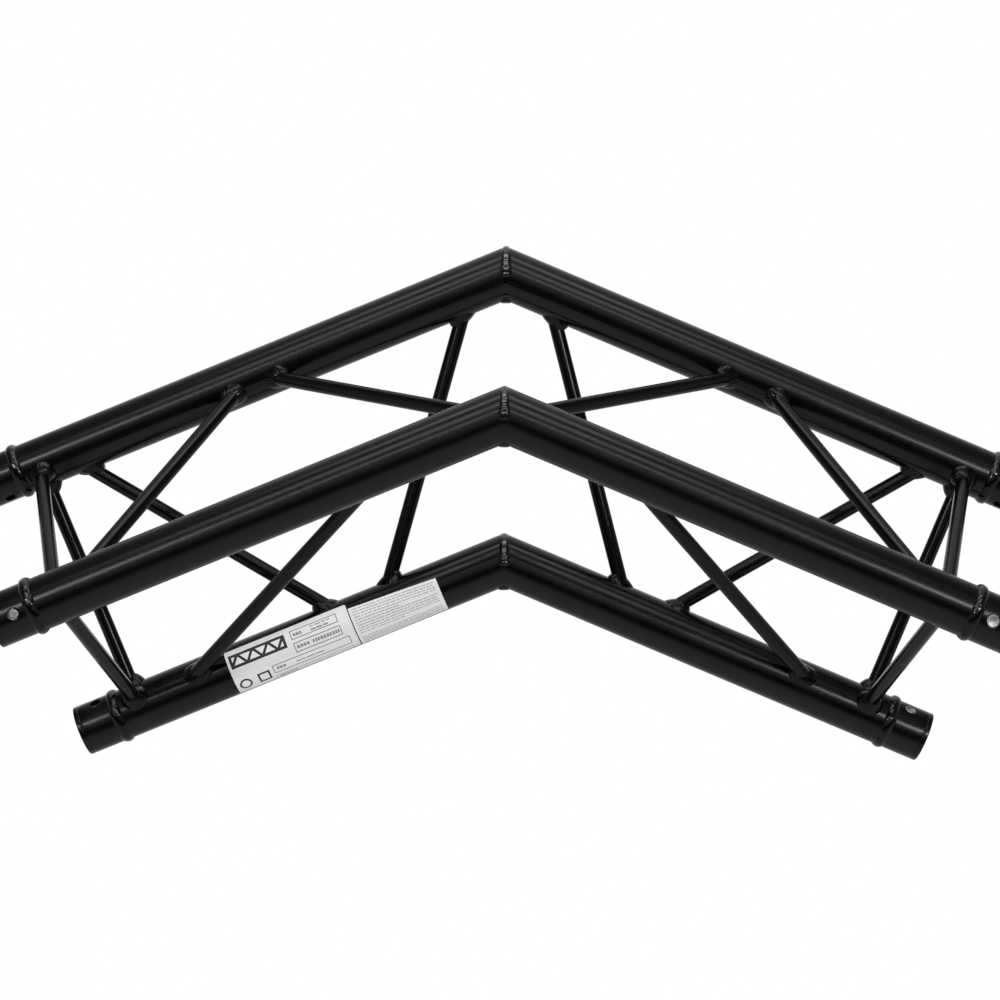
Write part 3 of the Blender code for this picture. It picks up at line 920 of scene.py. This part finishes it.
# ---------------------------------------------------------------- braces and their weld collars
def meet(way, leg, spoke, shell):
    """How far along way, from spokes off a chord's axis, its cylinder of radius shell is."""
    flat = spoke - (spoke @ leg)[..., None] * leg
    run = way - leg * (way @ leg)
    square = run @ run
    slope = flat @ run
    excess = (flat * flat).sum(-1) - shell * shell
    return (-slope + np.sqrt(slope * slope - square * excess)) / square


def brace_frame(near, far, side):
    """Both ends of a brace, its direction and two directions square to it.

    near and far are each a chord and a station in mm.
    """
    start, end = (on_chord(chord, side, station * MM) for chord, station in (near, far))
    leg = along(side)
    way = unit(end - start)
    first = unit(leg - way * (leg @ way))
    return start, end, way, first, np.cross(way, first)


def brace(node, near, far, side):
    """Hollow brace, coped to fit both chords."""
    start, end, way, first, second = brace_frame(near, far, side)
    leg = along(side)
    shell = CHORD_R + 0.05 * MM

    def coped(radius):
        spoke = spokes(radius, turns(BRACE_SIDES), first, second)
        return (
            start + spoke + np.outer(meet(way, leg, spoke, shell), way),
            end + spoke - np.outer(meet(-way, leg, spoke, shell), way),
        )

    one, two = coped(STRUT_R)
    shares = [k / TUBE_STEPS for k in range(TUBE_STEPS + 1)]
    rows = [one * (1 - share) + two * share for share in shares]
    rows += reversed(coped(STRUT_BORE_R))
    # the CAD node also holds the welds, so the slack is wide
    tube(f"brace_{node}", rows, COAT_BRACE, node, slack=4.5 * MM)


def collar(node, near, far, side, tag, seed):
    """Fillet weld round the near foot of a brace, following the saddle where the tubes meet."""
    rng = np.random.RandomState(seed)
    start, _, way, first, second = brace_frame(near, far, side)
    leg = along(side)
    laps = np.arange(COLLAR_COLUMNS) / COLLAR_COLUMNS
    spoke = spokes(STRUT_R, 2 * math.pi * laps, first, second)
    foot = start + spoke + np.outer(meet(way, leg, spoke, CHORD_R), way)
    outward = unit(spoke)
    radial = foot - start
    radial = unit(radial - np.outer(radial @ leg, leg))
    away = unit(outward - radial * (outward * radial).sum(-1)[:, None])
    closing = away @ way                   # above 0 where brace and chord close up
    phase = ripples(rng, laps, COLLAR_GIRTH, pitch=2.5 * MM)
    if rng.uniform() < 0.5:
        phase = -phase
    reach_size = 1 + 0.10 * wave(rng, laps, 1, 5)
    rise_size = 1 + 0.12 * wave(rng, laps, 1, 6)
    nook, open_side = np.clip(closing, 0, 1), np.clip(-closing, 0, 1)
    reach = COLLAR_TOE * (1 - 0.50 * nook - 0.42 * open_side) * reach_size
    rise = COLLAR_RISE * (1 - 0.75 * nook - 0.42 * open_side) * rise_size

    def on_shell(reach, radius):
        """Points out from the foot along the chord, moved to a radius about its axis."""
        points = foot + away * reach[:, None]
        flat = points - start
        flat = flat - np.outer(flat @ leg, leg)
        return points + unit(flat) * (radius - np.linalg.norm(flat, axis=-1))[:, None]

    toe = on_shell(reach, CHORD_R)
    top = foot + np.outer(rise, way)
    full = 0.64 - 0.12 * nook              # how far the fillet bulges out
    corner = foot + (toe - foot) * full[:, None] + (top - foot) * full[:, None]
    lumps = wave(np.random.RandomState(seed + 7), laps, 3, 9)
    rows = [on_shell(reach * (0.97 + 0.06 * scallop(phase + 0.37)), CHORD_R)]
    for k in range(1, COLLAR_STEPS):
        share = k / COLLAR_STEPS
        point = toe * (1 - share) ** 2 + corner * (2 * share * (1 - share)) + top * share ** 2
        tangent = (corner - toe) * (1 - share) + (top - corner) * share
        hoop = np.roll(point, -1, 0) - np.roll(point, 1, 0)
        normal = unit(np.cross(hoop, tangent))
        normal *= np.sign((normal * (outward + radial)).sum(-1))[:, None]
        swell = math.sin(math.pi * share) ** 0.6 * MM
        ripple = scallop(phase + 1.5 * (share - 0.5) ** 2, edge=0.8)
        rows.append(point + normal * ((0.15 * ripple - 0.08 + 0.08 * lumps) * swell)[:, None])
    # the top, then the hidden root inside both walls
    inset = 0.4 * MM * outward
    rows += [
        top,
        top - inset - 0.2 * MM * way,
        foot - inset + 0.1 * MM * way,
        on_shell(reach * 0.5, CHORD_R - 0.25 * MM),
    ]
    faces = grid_faces(len(rows), COLLAR_COLUMNS)
    piece(f"collar_{node}_{tag}", rows, faces, [COAT_FILLET], node, sharp=75.0)


# ---------------------------------------------------------------- films and their print
# The films wrap the front of the inner left chord. Runs start at its mitre and go left;
# angles in degrees go up from its front.
LABEL_OFFSET = CHORD_PITCH / 2 * math.tan(LEG_FALL)
FILM_LOW = CHORD_R + 0.03 * MM
FILM_TOP = CHORD_R + 0.17 * MM
FILM_STEPS = 40
FILM_LIFT = 0.10 * MM                  # the lower long edge stands off the tube by this
FILM_LIFT_TURN = 0.12                  # over this angle, in radians

# Near and far run, upper angle and lower angle (each near, far), corner radius.
LABELS = {
    "data_label": (114.2 * MM, 205.3 * MM, (49.5, 49.5), (-70.0, -70.0), 1.2 * MM),
    "notes_label": (48.6 * MM, 113.4 * MM, (23.0, 34.0), (-70.0, -70.0), 0.4 * MM),
}


def film_point(run, angle, radius):
    up, y = CHORDS["inner"]
    up, y = up + radius * np.sin(angle), y - radius * np.cos(angle)
    return place(SIDES["left"], run + LABEL_OFFSET, up, y)


def film(name):
    """Thin film with rounded corners."""
    near, far, upper, lower, corner = LABELS[name]
    ends = [corner * (1 - math.cos(math.radians(a))) for a in (0, 15, 30, 45, 60, 75, 90)]
    runs = [near + end for end in ends]
    runs += list(np.linspace(near + corner, far - corner, 26)[1:-1])
    runs += [far - end for end in reversed(ends)]
    loops, local = [], []
    for run in runs:
        share = (run - near) / (far - near)
        top = math.radians(upper[0] + (upper[1] - upper[0]) * share)
        low = math.radians(lower[0] + (lower[1] - lower[0]) * share)
        inset = min(run - near, far - run)
        cut = 0.0
        if inset < corner:
            arc = math.sqrt(max(0.0, corner ** 2 - (corner - inset) ** 2))
            cut = (corner - arc) / CHORD_R
        angles = np.linspace(low + cut, top - cut, FILM_STEPS + 1)
        lift = FILM_LIFT * np.clip(1 - (angles - angles[0]) / FILM_LIFT_TURN, 0, 1) ** 2
        one, two = film_point(run, angles, FILM_LOW), film_point(run, angles, FILM_TOP)
        out = unit(two - one)
        loops.append(np.concatenate([one, (two + out * lift[:, None])[::-1]]))
        flat = [angles * CHORD_R, np.zeros_like(angles), np.full_like(angles, run)]
        flat = np.stack(flat, axis=-1)
        local.append(np.concatenate([flat, flat[::-1]]))
    count = 2 * (FILM_STEPS + 1)
    faces = grid_faces(len(loops), count, closed=False)
    for base in (0, (len(loops) - 1) * count):
        last = base + count - 1
        for k in range(FILM_STEPS):
            faces.append((base + k, base + k + 1, last - 1 - k, last - k))
    piece(
        f"film_{name}", loops, faces, [FILM], name, local=local, sharp=50.0,
        slack=0.8 * MM,
    )


class Print:
    """Ink strokes on a film, each a thin closed strip.

    Places are (run in mm, angle in degrees). Widths, joins, lengths and gaps are in mm.
    """

    def __init__(self, seed):
        self.rng = np.random.RandomState(seed)
        self.rings, self.faces, self.look = [], [], []

    def stroke(self, start, end, width, tone=BLACK, join=0.0):
        """A straight stroke, made longer by join at both ends."""
        one, two = (np.array([x * MM, math.radians(a) * FILM_TOP]) for x, a in (start, end))
        way = (two - one) / np.linalg.norm(two - one)
        one, two = one - way * join * MM, two + way * join * MM
        half = np.array([-way[1], way[0]]) * width * MM / 2
        # steps and lanes let the stroke follow the curve
        steps = max(1, int(abs(two[1] - one[1]) / (0.8 * MM)) + 1)
        lanes = int(width / 0.9) + 1
        shares = np.array([-1 + 2 * k / lanes for k in range(lanes + 1)])
        girth = 2 * (lanes + 1)
        base = sum(len(ring) for ring in self.rings)
        for k in range(steps + 1):
            flat = one + (two - one) * k / steps + np.outer(shares, half)
            under = film_point(flat[:, 0], flat[:, 1] / FILM_TOP, FILM_TOP - 0.05 * MM)
            over = film_point(flat[:, 0], flat[:, 1] / FILM_TOP, FILM_TOP + 0.02 * MM)
            self.rings.append(np.concatenate([under, over[::-1]]))
        faces = grid_faces(steps + 1, girth, closed=False, first=base)
        faces.append(tuple(base + k for k in reversed(range(girth))))
        faces.append(tuple(base + steps * girth + k for k in range(girth)))
        self.faces += faces
        self.look += [tone] * len(faces)

    def box(self, runs, top, low, width=0.50, tone=LINE):
        """A frame. top and low are the angles of its long edges at its two runs."""
        (left, right), half = runs, width / 2
        self.stroke((left, top[0]), (right, top[1]), width, tone, join=half)
        self.stroke((left, low[0]), (right, low[1]), width, tone, join=half)
        self.stroke((left, top[0]), (left, low[0]), width, tone)
        self.stroke((right, top[1]), (right, low[1]), width, tone)

    def words(self, start, end, height, lengths, gap=0.9, tone=GREY):
        """A line of print as plain broken dashes, without letters."""
        (left, left_angle), (right, right_angle) = start, end

        def at(x):
            return x, left_angle + (right_angle - left_angle) * (left - x) / (left - right)

        x = left
        while x - right > lengths[0]:
            length = min(self.rng.uniform(*lengths), x - right)
            self.stroke(at(x), at(x - length), height, tone)
            x -= length + gap * self.rng.uniform(0.8, 1.3)

    def make(self, name):
        piece(
            name, self.rings, self.faces, INKS, look=self.look, sharp=20.0
        )


def truss_symbol(sheet):
    """Two chords with a zig-zag between them, closed by a post at each end."""
    left, right, top, low = 203.4, 161.6, 32.0, 6.0
    inset, bays = 0.9, 7
    for angle in (top, low):
        sheet.stroke((left, angle), (right, angle), 2.0)
    runs = [left - inset - (left - right - 2 * inset) * k / bays for k in range(bays + 1)]
    for k in range(bays):
        start, end = (low, top) if k % 2 == 0 else (top, low)
        sheet.stroke((runs[k], start), (runs[k + 1], end), 1.9, join=-0.25)
    for x in (left - 1.0, right + 1.0):
        sheet.stroke((x, low), (x, top), 2.0, join=-0.3)


def ring_sign(sheet):
    """An outline circle of short strokes."""
    radius, sides = 3.9, 20
    degrees_per_mm = 180 / math.pi / (FILM_TOP / MM)

    def at(k):
        angle = 2 * math.pi * k / sides
        rise = radius * math.sin(angle) * degrees_per_mm
        return 198.4 + radius * math.cos(angle), -43 + rise

    for k in range(sides):
        sheet.stroke(at(k), at(k + 1), 1.4, join=0.12)


def data_print():
    sheet = Print(seed=41)
    truss_symbol(sheet)
    ring_sign(sheet)
    sheet.box((188.2, 180.6), (-31.5, -31.5), (-55.5, -55.5), width=1.4, tone=BLACK)
    # framed fields with plain bars
    words = sheet.words
    sheet.box((157.0, 122.8), top=(35.2, 34.6), low=(15.4, 14.8))
    words((155.3, 24.6), (147.2, 24.4), height=2.2, lengths=(1.5, 2.4), gap=0.5)
    words((142.4, 29.0), (127.0, 28.8), height=0.8, lengths=(2.0, 4.5))
    words((142.4, 20.6), (129.6, 20.4), height=1.3, lengths=(2.5, 5.0), gap=0.7)
    sheet.box((157.0, 122.8), top=(5.8, 5.2), low=(-15.4, -15.9))
    words((155.4, -4.6), (145.2, -4.8), height=2.2, lengths=(1.5, 2.2), gap=0.55)
    words((143.8, -4.9), (123.9, -5.3), height=2.4, lengths=(1.2, 1.9), gap=0.55)
    sheet.box((176.8, 119.3), top=(-24.6, -25.8), low=(-45.2, -47.0))
    words((174.4, -34.0), (167.6, -34.2), height=2.1, lengths=(1.6, 2.4), gap=0.5)
    words((160.0, -36.4), (139.0, -37.0), height=0.9, lengths=(2.0, 7.0), gap=0.5)
    # the lowest field is open below
    sheet.stroke((176.8, -57.6), (119.3, -58.8), 0.32, LINE, join=0.16)
    sheet.stroke((176.8, -57.6), (176.8, -68.0), 0.32, LINE)
    sheet.stroke((119.3, -58.8), (119.3, -68.0), 0.32, LINE)
    words((174.4, -63.6), (160.0, -63.9), height=1.4, lengths=(2.0, 4.0), gap=0.6)
    sheet.make("print_data_label")


def notes_print():
    sheet = Print(seed=97)
    left, right = 111.4, 51.2
    dashes = dict(lengths=(1.2, 5.0), gap=0.55, tone=PALE)
    for k in range(10):
        start, full_end = 28.0 - 6.6 * k, 16.0 - 5.6 * k
        # the last line of each paragraph is short
        stop = right + sheet.rng.uniform(18, 30) if k in (4, 9) else right
        end = start + (full_end - start) * (left - stop) / (left - right)
        sheet.words((left, start), (stop, end), height=0.80, **dashes)
    for k in range(4):
        angle = -44.0 - 6.0 * k
        sheet.words((left, angle), (right, angle), height=0.75, **dashes)
    sheet.make("print_notes_label")


# ---------------------------------------------------------------- the object
seed = 1000
for side_index, (side_name, side) in enumerate(SIDES.items()):
    for chord in CHORDS:
        seed += 17
        chord_tube(chord, side_name)
        socket_sleeve(chord, side_name)
        socket_bead(chord, side_name, seed)
        taper_pin(chord, side_name, seed + 5)
    for name, near_chord, near_stations, far_chord, far_stations in STRUTS:
        near = near_chord, near_stations[side_index]
        far = far_chord, far_stations[side_index]
        node = f"{name}_{side_name}"
        seed += 31
        brace(node, near, far, side)
        collar(node, near, far, side, "a", seed)
        collar(node, far, near, side, "b", seed + 11)
for chord in CHORDS:
    seed += 23
    corner_bead(chord, seed)
for label_name in LABELS:
    film(label_name)
data_print()
notes_print()


# ---------------------------------------------------------------- studio
def backdrop_world():
    """White to the camera. Other rays see a world that is paler behind the truss."""
    world = bpy.data.worlds.new("studio")
    bpy.context.scene.world = world
    net = Net(world, "OutputWorld")
    white = (1, 1, 1, 1)
    seen = net.put(net.add("Background"), Color=white, Strength=1.0)
    unseen = net.put(net.add("Background"), Color=white)
    camera_ray = net.add("LightPath").outputs["Is Camera Ray"]
    net.surface(net.mix(camera_ray, unseen.outputs[0], seen.outputs[0]))
    way = net.split(net.add("TexCoord").outputs["Generated"])
    behind = net.ramp(way["Y"], span=(-0.15, 0.30))
    back = net.ramp(way["Z"], span=(0.15, 0.75), to=(1.0, 0.85))
    # dimmer to the sides, and more so high up
    aside = net.ramp(net.math("ABSOLUTE", way["X"], 0.0), span=(0.22, 0.62))
    sides = net.ramp(net.math("ABSOLUTE", way["X"], 0.0), span=(0.36, 0.62), to=(1.0, 0.55))
    aloft = net.ramp(way["Z"], span=(0.20, 0.60), to=(0.0, 0.60))
    aloft = net.math("MULTIPLY", aside, aloft)
    # the front is brightest just above eye level
    front = net.ramp(way["Z"], span=(-0.16, 0.12), to=(0.2, 0.74))
    ceiling = net.ramp(way["Z"], span=(0.22, 0.50), to=(1.0, 0.78))
    front = net.math("MULTIPLY", front, ceiling)
    front = net.math("MULTIPLY", front, net.math("SUBTRACT", 1.0, behind))
    total = net.math("ADD", net.math("MULTIPLY", back, behind), front)
    total = net.math("MULTIPLY", total, net.math("SUBTRACT", 1.0, aloft))
    net.put(unseen, Strength=net.math("MULTIPLY", total, sides))


def floor():
    """Pale floor. At a low view it runs into the white backdrop; from above it is paper."""
    size, level = 6.0, -0.0002
    mesh = bpy.data.meshes.new("floor_mesh")
    corners = ((-size, -size), (size, -size), (size, size), (-size, size))
    mesh.from_pydata([(x, y, level) for x, y in corners], [], [(0, 1, 2, 3)])
    obj = add_object("floor", mesh)
    net = material_net("floor_paper")
    camera_ray = net.add("LightPath").outputs["Is Camera Ray"]
    slope = net.split(net.add("NewGeometry").outputs["Incoming"])
    paper = net.add("BsdfDiffuse")
    grain = net.noise(net.object_place(), scale=260.0, detail=3.0)
    net.put(paper, Color=net.blend(grain, (0.90, 0.90, 0.90, 1), (0.94, 0.94, 0.935, 1)))
    white = net.put(net.add("Emission"), Strength=1.0)
    from_above = net.ramp(slope["Z"], span=(0.20, 0.30))
    seen = net.mix(from_above, white.outputs[0], paper.outputs[0])
    # what the paint mirrors: bright under the truss, darker towards the camera.
    # forward is the forward share of the direction, in the plane across the chords
    squares = [net.math("POWER", slope[axis], 2.0) for axis in ("Y", "Z")]
    steep = net.math("SQRT", net.math("ADD", *squares))
    forward = net.math("DIVIDE", slope["Y"], net.math("MAXIMUM", steep, 1e-4))
    under, dark, near, glow = 0.92, 0.03, 0.26, 1.0     # brightness, and its overall factor
    bright = net.ramp(forward, span=(0.70, 0.955), to=(under, dark))
    far_front = net.ramp(forward, span=(0.976, 0.995), to=(dark, near))
    bright = net.math("MAXIMUM", bright, far_front)
    behind = net.ramp(forward, span=(-0.50, 0.30), to=(0.62, 1.0))
    strength = net.math("MULTIPLY", net.math("MULTIPLY", bright, behind), glow)
    mirrored = net.put(net.add("Emission"), Strength=strength)
    mesh.materials.append(net.surface(net.mix(camera_ray, mirrored.outputs[0], seen)))


# Soft boxes: name, centre, half width in x, half height in (y, z), radiance, and the shares
# of the half width and half height over which the glow fades out.
PANELS = (
    ("soft_box_top", (0, -0.20, 1.50), 0.90, (0.20, 0), 4.5, 0.40, 0.35),
    ("soft_box_high", (-0.06, -1.12, 1.50), 1.18, (0.18, 0.157), 4.5, 0.42, 0.35),
    ("soft_box_low", (0, -2.85, 1.52), 1.15, (0.085, 0.19), 3.9, 0.25, 0.35),
    ("lamp_low", (0, -2.80, 1.50), 1.10, (0.018, 0.040), 13.0, 0.30, 0.6),
    ("soft_box_left", (-1.52, -2.75, 1.13), 0.60, (0.10, 0.25), 14.0, 0.45, 0.35),
    ("lamp_left", (-1.50, -2.70, 1.20), 0.52, (0.025, 0.060), 24.0, 0.45, 0.5),
    ("soft_box_right", (1.50, -2.75, 0.82), 0.64, (0.09, 0.22), 22.0, 0.45, 0.35),
    ("lamp_right", (1.50, -2.70, 0.86), 0.56, (0.025, 0.060), 36.0, 0.45, 0.5),
    ("ceiling", (0, 0.45, 1.75), 0.70, (0.55, 0), 1.2, 0.6, 0.6),
)
PANEL_TARGET = np.array((0.0, 0.0, 0.2))


def panel(name, centre, half_width, half_height, radiance, soft_ends, soft_edges):
    """A sheet that glows on the side facing the truss, weaker towards its edges."""
    centre = np.array(centre, float)
    wide, high = np.array((half_width, 0.0, 0.0)), np.array((0.0, *half_height))
    corners = [centre - wide - high, centre + wide - high]
    corners += [centre + wide + high, centre - wide + high]
    facing = np.cross(wide, high) @ (PANEL_TARGET - centre) > 0
    mesh = bpy.data.meshes.new(name)
    order = [0, 1, 2, 3] if facing else [3, 2, 1, 0]
    mesh.from_pydata([tuple(corner) for corner in corners], [], [order])
    uv = mesh.uv_layers.new(name="sheet")
    for loop in mesh.loops:
        uv.data[loop.index].uv = ((0, 0), (1, 0), (1, 1), (0, 1))[loop.vertex_index]
    obj = add_object(name, mesh)
    net = material_net(name + "_glow")
    parts = net.split(net.add("UVMap", uv_map="sheet").outputs[0])
    # 0 in the middle of the sheet, 1 at its ends or edges
    endward, edgeward = (
        net.math("ABSOLUTE", net.math("MULTIPLY_ADD", parts[axis], 2.0, -1.0))
        for axis in ("X", "Y")
    )
    share = net.math(
        "MULTIPLY",
        net.ramp(endward, span=(1 - soft_ends, 1.0), to=(1.0, 0.0)),
        net.ramp(edgeward, span=(1 - soft_edges, 1.0), to=(1.0, 0.0)),
    )
    # radiance from the middle to the ends, here even
    power = net.math("MULTIPLY", net.ramp(endward, span=(0.25, 0.75), to=(1.0, 1.0)), radiance)
    front = net.math("SUBTRACT", 1.0, net.add("NewGeometry").outputs["Backfacing"])
    glow = net.put(net.add("Emission"), Strength=power).outputs[0]
    clear = net.add("BsdfTransparent").outputs[0]
    shader = net.mix(net.math("MULTIPLY", share, front), clear, glow)
    mesh.materials.append(net.surface(shader))
    obj.visible_camera = False
    obj.visible_shadow = False


def camera():
    """Camera in front of the truss, looking to the rear."""
    data = bpy.data.cameras.new("camera")
    data.sensor_fit = "HORIZONTAL"
    data.sensor_width = 36.0
    data.lens = 108.95
    data.clip_start = 0.01
    data.clip_end = 50.0
    obj = add_object("camera", data)
    yaw, pitch, roll = (math.radians(a) for a in (0.238, -1.122, -0.395))
    turn = Matrix.Rotation(yaw, 3, "Z") @ Matrix.Rotation(pitch, 3, "X")
    turn = turn @ Matrix.Rotation(roll, 3, "Y")
    right, ahead, up = (turn.col[k].copy() for k in range(3))
    basis = Matrix((right, up, -ahead)).transposed()
    location = Vector((0.00567, -2.03574, 0.22130))
    obj.matrix_world = Matrix.Translation(location) @ basis.to_4x4()
    bpy.context.scene.camera = obj


backdrop_world()
floor()
for settings in PANELS:
    panel(*settings)
camera()
view = bpy.context.scene.view_settings
view.view_transform = "Standard"
view.look = "None"
view.exposure = 0.0
view.gamma = 1.0

bpy.context.view_layer.update()
